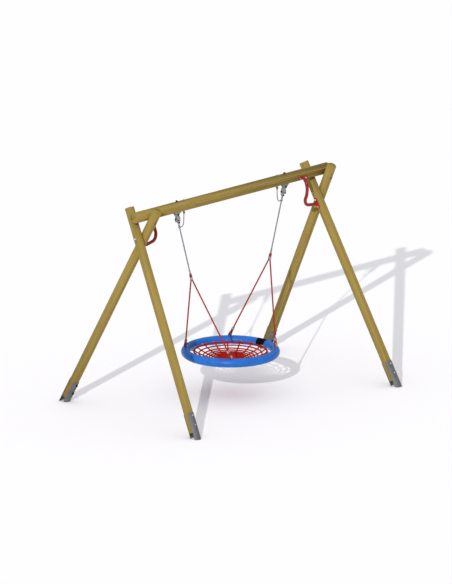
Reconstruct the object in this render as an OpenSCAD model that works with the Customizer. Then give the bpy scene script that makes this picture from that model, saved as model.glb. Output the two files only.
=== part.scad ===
// Basket swing: two leaning A-frames of crossed round posts, a round top beam,
// two swing bearings and a padded ring seat with a sagging rope net.
// Millimetres, +Z up. X runs along the top beam, the origin is on the floor
// under the middle of the beam. The whole swing maps onto itself when it is
// turned half a turn about Z, so every left piece is turned to make the right one.

/* [Timber frame] */
// Diameter of the four round posts
post_d = 120; // [100:1:150]
// Diameter of the top beam
beam_d = 140; // [110:1:170]
// Length of beam past the crossing of a pair, at each end
beam_over = 135; // [100:1:300]
// Height where the two posts of a pair cross
cross_h = 2353; // [1900:1:2900]
// Distance from the middle of the swing to the crossing of a pair
cross_x = 1593; // [1400:1:2000]
// Distance between the front and back feet, on the floor
foot_spread = 2474; // [1800:1:3000]
// Lean of each pair of posts towards the middle
lean = 5; // [0:0.5:8]
// Length of post above the crossing
post_top = 410; // [360:1:600]
// Gap between the foot of the timber and the floor, along the post
post_gap = 80; // [50:1:150]

/* [Post anchors] */
// Thickness of the steel half shells
shell_t = 5; // [3:0.5:8]
// Height of the half shells along the post
shell_h = 335; // [300:1:500]
// Part of the post's circumference that one half shell covers, in degrees
shell_arc = 120; // [90:1:150]
// Radius of the shells' top corners
shell_corner = 25; // [10:1:30]
// Diameter of the anchor bolts
anchor_bolt_d = 12; // [8:1:16]
// Height of the lower anchor bolt along the post
bolt_low = 170; // [130:1:200]
// Distance from the upper anchor bolt up to the top of the half shells
bolt_edge = 40; // [35:1:60]

/* [Frame bolts] */
// Diameter of the bolt through each crossing
cross_bolt_d = 16; // [10:1:20]
// Diameter of the screws that hold the beam to the post tops
beam_screw_d = 12; // [8:1:16]

/* [Braces] */
// Diameter of the bent brace tube
brace_d = 42; // [30:1:50]
// Distance from the crossing to the brace's beam plate, along the beam
brace_reach = 358; // [330:1:400]
// Distance from the crossing to the brace's post plate, along the post
brace_drop = 140; // [120:1:170]
// Thickness of the curved plates
plate_t = 6; // [4:0.5:8]
// Length of the curved plates
plate_len = 140; // [130:1:170]
// Arc that a curved plate covers, in degrees
plate_arc = 48; // [40:1:60]
// Diameter of the plate bolts
plate_bolt_d = 12; // [8:1:14]
// Distance between the two bolts of a plate
plate_pitch = 92; // [80:1:100]

/* [Bearings] */
// Distance from the middle of the swing to each swing pin
bearing_x = 948; // [850:1:1050]
// Distance from the underside of the beam down to the swing pin
swing_down = 88; // [84:1:100]
// Diameter of the swing pin
swing_pin_d = 16; // [12:1:18]
// Diameter of the cable pin
cable_pin_d = 12; // [8:1:14]
// Diameter of the bolt that clamps the bearing housing
clamp_bolt_d = 16; // [12:1:18]
// Diameter of the stud through the beam
stud_d = 12; // [10:1:20]
// Distance from the swing pin in to the safety eye bolt, along the beam
eye_in = 113; // [105:1:130]

/* [Hangers] */
// Diameter of the grey steel-cored cable
cable_d = 18; // [12:1:20]
// Diameter of the red rope
rope_d = 20; // [12:1:22]
// Height where the two red ropes part
junction_h = 1628; // [1200:1:1800]
// Diameter of the safety cable
safety_d = 12; // [8:1:14]

/* [Nest] */
// Height of the ring's centre above the floor
ring_h = 553; // [450:1:700]
// Radius of the ring, to the middle of its padding
ring_r = 571.5; // [480:0.5:650]
// Outer diameter of the blue padding
cover_d = 112; // [90:1:125]
// Diameter of the steel tube inside
core_d = 42; // [34:1:48]
// Wall of the steel tube inside
core_wall = 3; // [2:0.5:5]
// Diameter of the pins that hold the rope ends to the ring
ring_pin_d = 8; // [6:1:12]
// Distance from the padding in to the middle of the net's edge rope
net_gap = 52.5; // [40:0.5:80]
// Diameter of the net's edge rope
net_edge_d = 20; // [12:1:24]
// How far the net sags in the middle
net_sag = 120; // [60:1:160]
// Thickness of the net
net_t = 18; // [8:1:24]
// Number of clips that hold the net
clips = 18; // [12:2:24]
// Where the black sleeve sits, in degrees from +X
sleeve_at = -1; // [-20:1:20]
// Arc of the black sleeve, in degrees
sleeve_arc = 15.5; // [8:0.5:30]

/* [Hidden] */
$fn = 48;
// Clearance between timber faces, round a bolt in its hole, and of a running pin
wood_gap = 0.3;
hole_gap = 0.5;
run_gap = 0.05;
big = 6000;

// ---- frame geometry ----
post_r = post_d / 2;
beam_r = beam_d / 2;
beam_len = 2 * (cross_x + beam_over);
brace_x = cross_x - brace_reach;
bolt_high = shell_h - bolt_edge;
slope = foot_spread / 2 / cross_h;               // sideways run of a post for each mm of height
splay = atan(slope);                             // splay of the posts, seen along the beam
splay_leant = atan(slope * cos(lean));           // the same splay in the leaning plane
post_down = cross_h / cos(lean) / cos(splay_leant); // crossing to floor, along a post
post_apart = (post_d + wood_gap) / cos(lean);    // distance between a pair's axes, along X
axis_gap = beam_r + post_r + wood_gap;           // beam axis to post axis
beam_z = cross_h + axis_gap / sin(splay);
screw_x = tan(lean) * axis_gap * cos(splay) / tan(splay); // shift of a beam screw along X

// ---- hanger geometry: every centre lies on one straight line in the XZ plane ----
swing_drop = beam_r + swing_down;                // beam axis down to the swing pin
swing_z = beam_z - swing_drop;
eye_x = bearing_x - eye_in;
attach = ring_r / sqrt(2);                       // ropes meet the ring at 45 degrees
loop_r = ring_pin_d / 2 + 3.8 + rope_d / 2;      // centre radius of the rope's end loops
attach_z = ring_h + cover_d / 2 + loop_r + rope_d / 2 + 1;
hang_slope = (bearing_x - attach) / (swing_z - attach_z);
hang_tilt = atan(hang_slope);
function hang_x(z) = attach + hang_slope * (z - attach_z);
clamp_rise = 60;                                 // swing pin up to the clamp bolt
pin_drop = 49;                                   // swing pin down to the cable pin
clamp_z = swing_z + clamp_rise;
cable_pin_z = swing_z - pin_drop;
stud_x = hang_x(clamp_z);
cable_pin_x = hang_x(cable_pin_z);

// turns a left piece into the right one
module right() rotate([0, 0, 180]) children();
module both() { children(); right() children(); }

// a round bar along Z from a to b
module bar(d, a, b) translate([0, 0, a]) cylinder(d = d, h = b - a);
// a low domed head of diameter d and height h, standing on z = 0
module dome(d, h) intersection() {
  cylinder(d = d, h = h);
  translate([0, 0, h - (d * d / 4 + h * h) / (2 * h)]) sphere(r = (d * d / 4 + h * h) / (2 * h), $fn = 64);
}
// a six-sided nut with its hole
module nut(af, h, bore) difference() {
  cylinder(d = af / cos(30), h = h, $fn = 6);
  translate([0, 0, -1]) cylinder(d = bore, h = h + 2);
}
// keeps what lies above z = 0 of the given frame
module above() difference() {
  children();
  translate([-big / 2, -big / 2, -big]) cube(big);
}

// ---- timber ----
// side is -1 for the outer post of the left pair, +1 for the inner one
module post_place(side)
  translate([-cross_x + side * post_apart / 2, 0, cross_h]) rotate([0, lean, 0])
    rotate([side * splay_leant, 0, 0]) children();
// the line from the beam's axis out through a post top
module screw_place(side)
  translate([-cross_x + side * post_apart / 2 + screw_x, 0, beam_z])
    rotate([side * (90 + splay), 0, 0]) children();
screw_seat = axis_gap + post_r - 3;              // where a beam screw's washer sits
washer_d = 32;
module crossing_hole() translate([-cross_x, 0, cross_h]) rotate([0, 90, 0]) children();
cross_seat = post_apart / 2 + post_r - 2;        // where the crossing bolt's washers sit

module post(side) color([0.62, 0.53, 0.28]) difference() {
  post_place(side) difference() {
    bar(post_d, -(post_down - post_gap), post_top);
    for (h = [bolt_low, bolt_high])
      translate([0, 0, h - post_down]) rotate([90, 0, 0])
        bar(anchor_bolt_d + 2 * hole_gap, -post_d, post_d);
  }
  screw_place(side) {
    bar(beam_screw_d + 2 * hole_gap, 0, screw_seat + 10);
    bar(washer_d + 1, screw_seat, screw_seat + 60);
  }
  crossing_hole() {
    bar(cross_bolt_d + 2 * hole_gap, -2 * post_d, 2 * post_d);
    bar(washer_d + 3, cross_seat, cross_seat + 60);
    bar(washer_d + 3, -cross_seat - 60, -cross_seat);
  }
  if (side > 0) brace_post_place() plate_bolt_holes(post_r);
}

module top_beam() color([0.62, 0.53, 0.28]) difference() {
  translate([0, 0, beam_z]) rotate([0, 90, 0]) bar(beam_d, -beam_len / 2, beam_len / 2);
  both() {
    for (side = [-1, 1]) screw_place(side) bar(beam_screw_d, -screw_bite, beam_d);
    translate([-stud_x, 0, beam_z]) bar(stud_d + 2 * hole_gap, -beam_d, beam_d);
    translate([-eye_x, 0, beam_z]) bar(eye_rod_d + 2 * hole_gap, -beam_d, beam_d);
    translate([-stud_x, 0, top_seat]) bar(stud_washer_d + 2, 0, 50);
    translate([-eye_x, 0, top_seat]) bar(stud_washer_d + 2, 0, 50);
    brace_beam_place() plate_bolt_holes(beam_r);
  }
}
screw_bite = 30;                                 // a beam screw's length past the beam's axis
top_seat = beam_z + beam_r - 2.5;                // flat under the washers on top of the beam
stud_washer_d = stud_d + 22;
stud_af = 1.5 * stud_d + 1;                      // nut on the stud, across its flats
stud_nut_h = stud_d - 1;
eye_rod_d = 12;

// ---- post anchors ----
shell_r = post_r + 0.5;
shell_half_w = (shell_r + shell_t) * sin(shell_arc / 2);
shell_seat = shell_r + shell_t - 1;              // flat under the anchor bolts' heads
module shell_outline() {
  low = -post_down - 150;
  high = shell_h - post_down;
  translate([-shell_half_w - 1, low]) square([2 * shell_half_w + 2, high - low - shell_corner]);
  translate([shell_corner - shell_half_w, low])
    square([2 * (shell_half_w - shell_corner), high - low]);
  for (x = [-1, 1]) translate([x * (shell_half_w - shell_corner), high - shell_corner])
    circle(r = shell_corner);
}
// face is +1 for the half shell on the post's +Y side, -1 for the other
module anchor_shell(side, face) color([0.4, 0.4, 0.41]) above() post_place(side) difference() {
  intersection() {
    translate([0, 0, -post_down - 150]) rotate([0, 0, face * 90 - shell_arc / 2])
      rotate_extrude(angle = shell_arc) translate([shell_r, 0]) square([shell_t, shell_h + 200]);
    rotate([90, 0, 0]) linear_extrude(height = 3 * post_d, center = true) shell_outline();
  }
  for (h = [bolt_low, bolt_high]) translate([0, 0, h - post_down]) rotate([-face * 90, 0, 0]) {
    bar(anchor_bolt_d + 2 * hole_gap, 0, post_d);
    bar(anchor_cap_d + 1, shell_seat, post_d);
  }
}
anchor_cap_d = 30;
anchor_nut_h = 9;
// the line of each anchor bolt, with +Z pointing to its head
module anchor_bolt_places() for (side = [-1, 1], h = [bolt_low, bolt_high])
  post_place(side) translate([0, 0, h - post_down]) rotate([-side * 90, 0, 0]) children();
module anchor_bolts() color([0.7, 0.7, 0.71]) both() anchor_bolt_places() {
  bar(anchor_bolt_d, -shell_seat - anchor_nut_h - 3, shell_seat);
  translate([0, 0, shell_seat]) dome(26, 9);
  translate([0, 0, -shell_seat - anchor_nut_h]) nut(19, anchor_nut_h, anchor_bolt_d);
}
module nut_cap(d, h) difference() {
  union() {
    cylinder(d = d, h = h - 5);
    translate([0, 0, h - 5]) dome(d, 5);
  }
  translate([0, 0, -1]) cylinder(d = d - 5, h = h - 3);
}
module black_nut_caps() color([0.06, 0.06, 0.06]) both() {
  anchor_bolt_places() translate([0, 0, -shell_seat]) rotate([180, 0, 0]) nut_cap(anchor_cap_d, 18);
  translate([-stud_x, 0, top_seat + 3]) nut_cap(stud_af + 9, stud_nut_h + 8);
}

// ---- frame bolts ----
module crossing_bolts() color([0.7, 0.7, 0.71]) both() crossing_hole() {
  bar(cross_bolt_d, -cross_seat - 16, cross_seat);
  translate([0, 0, cross_seat]) dome(washer_d, 12);
  translate([0, 0, -cross_seat - 3]) difference() {
    cylinder(d = washer_d, h = 3);
    translate([0, 0, -1]) cylinder(d = cross_bolt_d, h = 5);
  }
  translate([0, 0, -cross_seat - 14]) nut(24, 11, cross_bolt_d);
}
module beam_screws() color([0.35, 0.35, 0.36]) both() for (side = [-1, 1]) screw_place(side) {
  bar(beam_screw_d, -screw_bite, screw_seat);
  translate([0, 0, screw_seat]) cylinder(d = washer_d, h = 3);
  translate([0, 0, screw_seat + 3]) dome(24, 8);
}

// ---- braces ----
// frames of the two curved plates, with +Z pointing out of the timber's axis
beam_plate_turn = 68;                            // turn of the beam plate from straight down
module brace_beam_place()
  translate([-brace_x, 0, beam_z]) rotate([180 + beam_plate_turn, 0, 0]) rotate([0, 0, 90]) children();
module brace_post_place()
  post_place(1) translate([0, 0, -brace_drop]) rotate([0, 90, 0]) rotate([0, 0, 180]) children();
// the plate's long way is along the timber: local Y on the beam, local X on the post
module plate_bolt_holes(r) for (x = [-1, 1])
  rotate([0, 0, r == beam_r ? 90 : 0]) translate([x * plate_pitch / 2, 0, 0])
    bar(plate_bolt_d, r - plate_bite, r + 60);
plate_bite = 60;                                 // depth of a plate bolt in the timber
module saddle(r) intersection() {
  rotate([90, 0, r == beam_r ? 0 : 90]) translate([0, 0, -plate_len / 2])
    rotate([0, 0, 90 - plate_arc / 2]) rotate_extrude(angle = plate_arc)
      translate([r + wood_gap, 0]) square([plate_t, plate_len]);
  translate([-big / 2, -big / 2, 0]) cube(big);
}
module saddle_holes(r) for (x = [-1, 1])
  rotate([0, 0, r == beam_r ? 90 : 0]) translate([x * plate_pitch / 2, 0, 0]) {
    bar(plate_bolt_d + 2 * hole_gap, 0, r + 60);
    bar(24, r + plate_t - 0.5, r + 60);
  }
// the bent tube: a smooth curve through points that hang on the two plates
function lerp(a, b, t) = a + (b - a) * t;
brace_top = [-brace_x, beam_r * sin(beam_plate_turn), beam_z - beam_r * cos(beam_plate_turn)];
post_at = [-cross_x + post_apart / 2, 0, cross_h] -
  brace_drop * [sin(lean) * cos(splay_leant), -sin(splay_leant), cos(lean) * cos(splay_leant)];
brace_low = post_at + [post_r * cos(lean), 0, -post_r * sin(lean)];
n_beam = [0, sin(beam_plate_turn), -cos(beam_plate_turn)];
n_post = [cos(lean), 0, -sin(lean)];
brace_route = [
  brace_top + 19 * n_beam, brace_top + [5, 42, -24], brace_top + [10, 74, -70],
  brace_top + [7, 82, -136], lerp(brace_top, brace_low, 0.5) + [130, 68, -30],
  brace_low + [248, 40, 108], brace_low + [226, 22, 56], brace_low + [184, 14, 20],
  brace_low + [114, 6, 6], brace_low + 44 * n_post, brace_low + 16 * n_post
];
// a point of the smooth curve through p, at t from 0 to len(p) - 1
function at(p, i) = p[max(0, min(len(p) - 1, i))];
function curve(p, t) = let (i = min(floor(t), len(p) - 2), f = t - i,
    a = at(p, i - 1), b = at(p, i), c = at(p, i + 1), d = at(p, i + 2))
  0.5 * (2 * b + (c - a) * f + (2 * a - 5 * b + 4 * c - d) * f * f
    + (3 * b - a - 3 * c + d) * f * f * f);
function unit(v) = v / norm(v);
// a tube swept along the points, as one closed mesh with n sides; hint is a direction
// that the points never run along
module swept(pts, d, n, hint = [0.1, 1, 0.05]) {
  last = len(pts) - 1;
  dirs = [for (i = [0 : last]) unit(pts[min(i + 1, last)] - pts[max(i - 1, 0)])];
  rings = [for (i = [0 : last]) let (u = unit(cross(dirs[i], hint)), v = cross(dirs[i], u))
    for (k = [0 : n - 1]) pts[i] + d / 2 * (cos(360 * k / n) * u + sin(360 * k / n) * v)];
  sides = [for (i = [0 : last - 1], k = [0 : n - 1])
    [i * n + k, (i + 1) * n + k, (i + 1) * n + (k + 1) % n, i * n + (k + 1) % n]];
  ends = [[for (k = [0 : n - 1]) k], [for (k = [n - 1 : -1 : 0]) last * n + k]];
  polyhedron(rings, concat(sides, ends), convexity = 4);
}
module brace() color([0.55, 0.1, 0.1]) difference() {
  union() {
    swept(concat([brace_top + 2.5 * n_beam],
      [for (t = [0 : 0.25 : len(brace_route) - 1]) curve(brace_route, t)],
      [brace_low + 2 * n_post]), brace_d, 16, [0.5, 0.6, 0.62]);
    brace_beam_place() saddle(beam_r);
    brace_post_place() saddle(post_r);
  }
  brace_beam_place() saddle_holes(beam_r);
  brace_post_place() saddle_holes(post_r);
}
module brace_bolts() color([0.75, 0.75, 0.76]) both() {
  brace_beam_place() plate_bolts(beam_r);
  brace_post_place() plate_bolts(post_r);
}
module plate_bolts(r) for (x = [-1, 1])
  rotate([0, 0, r == beam_r ? 90 : 0]) translate([x * plate_pitch / 2, 0, 0]) {
    bar(plate_bolt_d, r - plate_bite, r + plate_t - 0.5);
    translate([0, 0, r + plate_t - 0.5]) dome(22, 10);
  }

// ---- bearings, drawn for the left side about the swing pin ----
module at_swing() translate([-bearing_x, 0, swing_z]) children();
clamp_at = [bearing_x - stud_x, 0, clamp_rise];
cable_at = [bearing_x - cable_pin_x, 0, -pin_drop];
housing_w = 42;                                  // width of the housing, along Y
cheek_in = housing_w / 2 + 0.5;                  // half gap between the bracket's cheeks
cheek_t = 8;
barrel_half = 24;                                // half length of the housing's barrel, along X
barrel_d = 42;
flange_t = 1.5;
base_t = 7;                                      // bracket's base under the beam
module along_y(at, d, half) translate(at) rotate([90, 0, 0]) cylinder(d = d, h = 2 * half, center = true);
module along_x(d, a, b) rotate([0, 90, 0]) bar(d, a, b);

module hanger_bracket() color([0.5, 0.5, 0.49]) difference() {
  at_swing() union() {
    translate([clamp_at[0] - 50, -32, swing_drop - beam_r - base_t]) cube([100, 64, base_t + 8]);
    for (y = [-1, 1]) translate([0, y * (cheek_in + cheek_t / 2), 0]) {
      along_y(clamp_at, 40, cheek_t / 2);
      rotate([90, 0, 0]) linear_extrude(height = cheek_t, center = true) polygon([
        [clamp_at[0] - 38, swing_drop - beam_r - base_t + 1],
        [clamp_at[0] + 38, swing_drop - beam_r - base_t + 1],
        [clamp_at[0] + 19, clamp_rise - 6], [clamp_at[0] - 19, clamp_rise - 6]]);
    }
  }
  at_swing() along_y(clamp_at, clamp_bolt_d, 60);
  translate([-stud_x, 0, swing_z]) bar(stud_d, 0, beam_d);
  translate([0, 0, beam_z]) rotate([0, 90, 0]) bar(beam_d + 2 * wood_gap, -big / 2, big / 2);
}
module hanger_studs() color([0.6, 0.6, 0.6]) both() translate([-stud_x, 0, 0]) {
  bar(stud_d, beam_z - beam_r - base_t, top_seat + stud_nut_h + 5);
  translate([0, 0, top_seat]) difference() {
    cylinder(d = stud_washer_d, h = 3);
    translate([0, 0, -1]) cylinder(d = stud_d, h = 5);
  }
  translate([0, 0, top_seat + 3]) nut(stud_af, stud_nut_h, stud_d);
}
module bearing_housing() color([0.53, 0.53, 0.5]) at_swing() difference() {
  union() {
    along_y(clamp_at, 38, housing_w / 2);
    along_x(barrel_d, -barrel_half, barrel_half);
    rotate([90, 0, 0]) linear_extrude(height = housing_w, center = true) polygon([
      [-barrel_half, 0], [barrel_half, 0], [barrel_half, 24],
      [clamp_at[0] + 19, clamp_rise], [clamp_at[0] - 19, clamp_rise], [-barrel_half, 24]]);
  }
  along_y(clamp_at, clamp_bolt_d, 60);
  along_x(swing_pin_d + 8, -60, 60);
}
module swing_bushes() color([0.75, 0.6, 0.3]) both() at_swing() difference() {
  union() {
    along_x(swing_pin_d + 8, -barrel_half, barrel_half);
    for (x = [0, 1]) mirror([x, 0, 0])
      along_x(swing_pin_d + 16, barrel_half, barrel_half + flange_t);
  }
  along_x(swing_pin_d + 2 * run_gap, -60, 60);
}
module clamp_bolts() color([0.15, 0.15, 0.15]) both() at_swing() {
  along_y(clamp_at, clamp_bolt_d, cheek_in + cheek_t);
  for (y = [-1, 1]) translate(clamp_at + [0, y * (cheek_in + cheek_t), 0])
    rotate([-y * 90, 0, 0]) dome(26, 11);
}
cheek_x = barrel_half + flange_t + 0.5;          // inner face of the yoke's cheeks
yoke_t = 8;
eye_w = 17;                                      // width of the cable's upper eye
ear_in = eye_w / 2 + 0.5;                        // half gap between the yoke's ears
ear_t = 7;
bar_top = -24;                                   // top and bottom of the yoke's crossbar
bar_low = -36;
module yoke() color([0.55, 0.55, 0.52]) at_swing() difference() {
  union() {
    for (x = [0, 1]) mirror([x, 0, 0]) {
      along_x(36, cheek_x, cheek_x + yoke_t);
      translate([cheek_x, -16, bar_low]) cube([yoke_t, 32, -bar_low]);
    }
    translate([-cheek_x - 1, -16, bar_low]) cube([2 * cheek_x + 2, 32, bar_top - bar_low]);
    for (y = [-1, 1]) translate([0, y * (ear_in + ear_t / 2), 0]) {
      along_y(cable_at, 26, ear_t / 2);
      translate([cable_at[0] - 13, -ear_t / 2, cable_at[2]])
        cube([26, ear_t, bar_top - cable_at[2] - 1]);
    }
  }
  along_x(swing_pin_d, -60, 60);
  along_y(cable_at, cable_pin_d, 60);
}
module swing_pin() color([0.7, 0.7, 0.7]) at_swing()
  along_x(swing_pin_d, -cheek_x - yoke_t - 6, cheek_x + yoke_t + 6);
module cable_pin() color([0.7, 0.7, 0.7]) at_swing() along_y(cable_at, cable_pin_d, ear_in + ear_t + 5);
module pin_cap(d, bore, deep) difference() {
  dome(d, 12);
  translate([0, 0, -1]) cylinder(d = bore, h = deep + 1);
}
module pin_caps() color([0.07, 0.07, 0.07]) at_swing() {
  for (x = [-1, 1]) translate([x * (cheek_x + yoke_t), 0, 0]) rotate([0, x * 90, 0])
    pin_cap(26, swing_pin_d, 6);
  for (y = [-1, 1]) translate(cable_at + [0, y * (ear_in + ear_t), 0]) rotate([-y * 90, 0, 0])
    pin_cap(22, cable_pin_d, 5);
}

// ---- safety cable: from an eye bolt in the beam round to a clamp on the hanger ----
socket_d = 22;                                   // socket that holds the cable under the beam
socket_low = beam_z - beam_r - 43;
module safety_eye_bolts() color([0.45, 0.45, 0.45]) both() translate([-eye_x, 0, 0]) difference() {
  union() {
    bar(eye_rod_d, socket_low + 20, top_seat + 12);
    bar(socket_d, socket_low, beam_z - beam_r - 0.5);
    along_y([0, 0, socket_low + 20], 10, 18);
    for (y = [-1, 1]) translate([0, y * 13, socket_low + 20]) rotate([-y * 90, 0, 0]) dome(16, 8);
    translate([0, 0, top_seat]) cylinder(d = 30, h = 3);
    translate([0, 0, top_seat + 3]) dome(24, 11);
  }
}
clamp_low = 116;                                 // swing pin down to the middle of the cable clamp
clamp_c = [-hang_x(swing_z - clamp_low), 0, swing_z - clamp_low];
safety_route = [
  [-eye_x, 0, socket_low], [-eye_x, 0, socket_low - 30], [-eye_x - 1, 0, swing_z - 15],
  [-eye_x - 3, 0, swing_z - 45], [-eye_x - 8, 0, swing_z - 73], clamp_c + [64, 0, 21],
  clamp_c + [52, 0, 6], clamp_c + [38, 0, 0], clamp_c + [26, 0, 0], clamp_c + [14, 0, 0]
];
module safety_cable() color([0.6, 0.58, 0.57])
  swept([for (t = [0 : 0.5 : len(safety_route) - 1]) curve(safety_route, t)], safety_d, 8);

// ---- hangers, along the line from the swing pin to the ring ----
// frame on the hanger line at height z, with +Z pointing up the line
module on_line(z) translate([-hang_x(z), 0, z]) rotate([0, -hang_tilt, 0]) children();
line_up = 1 / cos(hang_tilt);
sleeve_d = cable_d + 6;
eye_t = 6;
bight_r = rope_d / 2 + eye_t / 2 + 0.5;          // centre radius of the rope's bight
ferrule_l = 37;
bight_c = ferrule_l + 23;                        // ferrule's foot up to the bight's centre
eye_c = bight_c + bight_r + 1;
eye_bore = rope_d + 4;
low_end = eye_c + eye_bore / 2 + 3;              // foot of the cable's lower sleeve
low_sleeve = 42;
module cable_ends() color([0.62, 0.62, 0.6]) {
  on_line(cable_pin_z) difference() {
    union() {
      rotate([90, 0, 0]) cylinder(d = 24, h = eye_w, center = true);
      bar(16, -18, -6);
      bar(sleeve_d, -52, -16.5);
    }
    rotate([90, 0, 0]) cylinder(d = cable_pin_d + 2 * run_gap, h = 30, center = true);
  }
  on_line(junction_h) difference() {
    union() {
      translate([0, 0, eye_c]) rotate([90, 0, 0]) cylinder(d = eye_bore + 14, h = eye_t, center = true);
      bar(sleeve_d, low_end + 2, low_end + low_sleeve);
    }
    translate([0, 0, eye_c]) rotate([90, 0, 0]) cylinder(d = eye_bore, h = 60, center = true);
  }
}
cable_len = (cable_pin_z - junction_h) * line_up - 52 - low_end - low_sleeve;
module cable() color([0.55, 0.55, 0.53]) on_line(junction_h)
  bar(cable_d, low_end + low_sleeve, low_end + low_sleeve + cable_len);
module cable_clamp() color([0.5, 0.5, 0.5]) difference() {
  translate(clamp_c + [-13, -12, -8]) cube([27, 24, 16]);
  on_line(swing_z - clamp_low) bar(cable_d, -60, 60);
}

// the rope ends, at the ring: y is +1 at the back and -1 at the front
rope_out = rope_d / 2 + 0.8;                     // a rope's offset at the junction
function end_at(y) = [-attach, y * attach, attach_z];
function rope_way(y) = unit([-hang_x(junction_h), y * rope_out, junction_h] - end_at(y));
function rope_len(y) = norm([-hang_x(junction_h), y * rope_out, junction_h] - end_at(y));
// frame at a ring end with +Z up the rope and +Y along the ring pin
module at_end(y) let (w = rope_way(y)) translate(end_at(y))
  rotate([atan2(-w[1], w[2]), 0, 0]) rotate([0, asin(w[0]), 0]) children();
loop_l = 50;                                     // pin up to the end ferrule
end_ferrule_l = 36;
pair_gap = rope_d / 2 + 0.2;
// centre line of a rope in the XZ plane: out of a ferrule at height z0 with half gap b,
// opening to radius a at z1, round the arc and back; way is +1 when the arc is on top
function eye_points(a, b, z0, z1, way) = let (half = concat(
    [[b, 0, z0], [b, 0, z0 + 4 * way]],
    [for (t = [0.25 : 0.25 : 1]) [lerp(b, a, t * t * (3 - 2 * t)), 0, lerp(z0 + 4 * way, z1, t)]],
    [for (q = [18 : 18 : 72]) [a * cos(q), 0, z1 + way * a * sin(q)]]))
  concat(half, [[0, 0, z1 + way * a]],
    [for (i = [len(half) - 1 : -1 : 0]) [-half[i][0], 0, half[i][2]]]);
module rope_loops() color([0.55, 0.16, 0.14]) {
  on_line(junction_h) rotate([0, 0, 90])
    swept(eye_points(bight_r, pair_gap, ferrule_l, bight_c, 1), rope_d, 12);
  for (y = [-1, 1]) at_end(y) swept(eye_points(loop_r, pair_gap, loop_l, 0, -1), rope_d, 12);
}
module oval(w, d, l) {
  for (x = [-1, 1]) translate([x * (w - d) / 2, 0, 0]) cylinder(d = d, h = l);
  translate([-(w - d) / 2, -d / 2, 0]) cube([w - d, d, l]);
}
module rope_ferrules() color([0.6, 0.6, 0.58]) {
  on_line(junction_h) rotate([0, 0, 90]) oval(2 * rope_d + 5, rope_d + 5, ferrule_l);
  for (y = [-1, 1]) at_end(y) translate([0, 0, loop_l]) oval(2 * rope_d + 3, rope_d + 5, end_ferrule_l);
}
module rope(y) color([0.6, 0.2, 0.18]) difference() {
  at_end(y) bar(rope_d, loop_l + end_ferrule_l, rope_len(y) + 12);
  on_line(junction_h) translate([-60, -60, 0]) cube(120);
}

// ---- ring ----
module ring_shape(d) translate([0, 0, ring_h]) rotate_extrude($fn = 96) translate([ring_r, 0]) circle(d = d);
fork_in = rope_d / 2 + 2;                        // half gap between a shackle's ears
fork_t = 5;
fork_w = 30;
fork_low = -36;
module all_ends() both() for (y = [-1, 1]) at_end(y) children();
module fork() {
  for (y = [-1, 1]) translate([0, y * (fork_in + fork_t / 2), 0]) {
    rotate([90, 0, 0]) cylinder(d = fork_w, h = fork_t, center = true);
    translate([-fork_w / 2, -fork_t / 2, fork_low]) cube([fork_w, fork_t, -fork_low]);
  }
}
module ring_shackles() color([0.6, 0.6, 0.58]) all_ends() difference() {
  union() {
    fork();
    translate([-fork_w / 2, -fork_in - fork_t, fork_low])
      cube([fork_w, 2 * (fork_in + fork_t), fork_t]);
    bar(12, fork_low - 34, fork_low + 1);
  }
  rotate([90, 0, 0]) cylinder(d = ring_pin_d, h = 80, center = true);
}
module ring_pins() color([0.65, 0.65, 0.65]) all_ends() {
  rotate([90, 0, 0]) cylinder(d = ring_pin_d, h = 2 * (fork_in + fork_t), center = true);
  for (y = [-1, 1]) translate([0, y * (fork_in + fork_t), 0]) rotate([-y * 90, 0, 0]) dome(16, 5);
}
module fork_pocket() {
  translate([-fork_w / 2 - 1, -fork_in - fork_t - 1, fork_low - 1])
    cube([fork_w + 2, 2 * (fork_in + fork_t + 1), 80]);
  bar(12 + 2 * hole_gap, fork_low - 60, fork_low);
}
clip_d = 14;
net_r = ring_r - cover_d / 2 - net_gap;          // radius of the net's edge rope
clip_in = net_r + net_edge_d / 2 + 0.5;
clip_out = ring_r - core_d / 2 - 0.5;
module clip_places() for (k = [0 : clips - 1]) rotate([0, 0, (k + 0.5) * 360 / clips])
  translate([0, 0, ring_h]) children();
module ring_tube() color([0.6, 0.6, 0.6]) difference() {
  ring_shape(core_d);
  ring_shape(core_d - 2 * core_wall);
  all_ends() bar(12 + 2 * hole_gap, fork_low - 60, 0);
}
module ring_cover() color([0.2, 0.42, 0.75]) difference() {
  ring_shape(cover_d);
  ring_shape(core_d + 1);
  all_ends() fork_pocket();
  clip_places() along_x(clip_d + 1, clip_in, ring_r - core_d / 4);
}
module ring_sleeve() color([0.05, 0.05, 0.05]) difference() {
  translate([0, 0, ring_h]) rotate([0, 0, sleeve_at - sleeve_arc / 2])
    rotate_extrude(angle = sleeve_arc) translate([ring_r, 0]) difference() {
      circle(d = cover_d + 3.4);
      circle(d = cover_d + 0.2);
    }
  clip_places() along_x(clip_d + 1, clip_in, ring_r - core_d / 4);
}
module net_clips() color([0.6, 0.62, 0.6]) clip_places() along_x(clip_d, clip_in, clip_out);
// the net is a shallow bowl, part of a sphere, hung from its edge rope
bowl_r = (net_r * net_r + net_sag * net_sag) / (2 * net_sag);
module net() color([0.6, 0.1, 0.08]) translate([0, 0, ring_h]) {
  rotate_extrude($fn = 96) {
    intersection() {
      translate([0, bowl_r - net_sag]) difference() {
        circle(r = bowl_r + net_t / 2, $fn = 360);
        circle(r = bowl_r - net_t / 2, $fn = 360);
      }
      translate([0, -net_sag - net_t]) square([net_r, net_sag + 2 * net_t]);
    }
    translate([net_r, 0]) circle(d = net_edge_d);
  }
}

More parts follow.
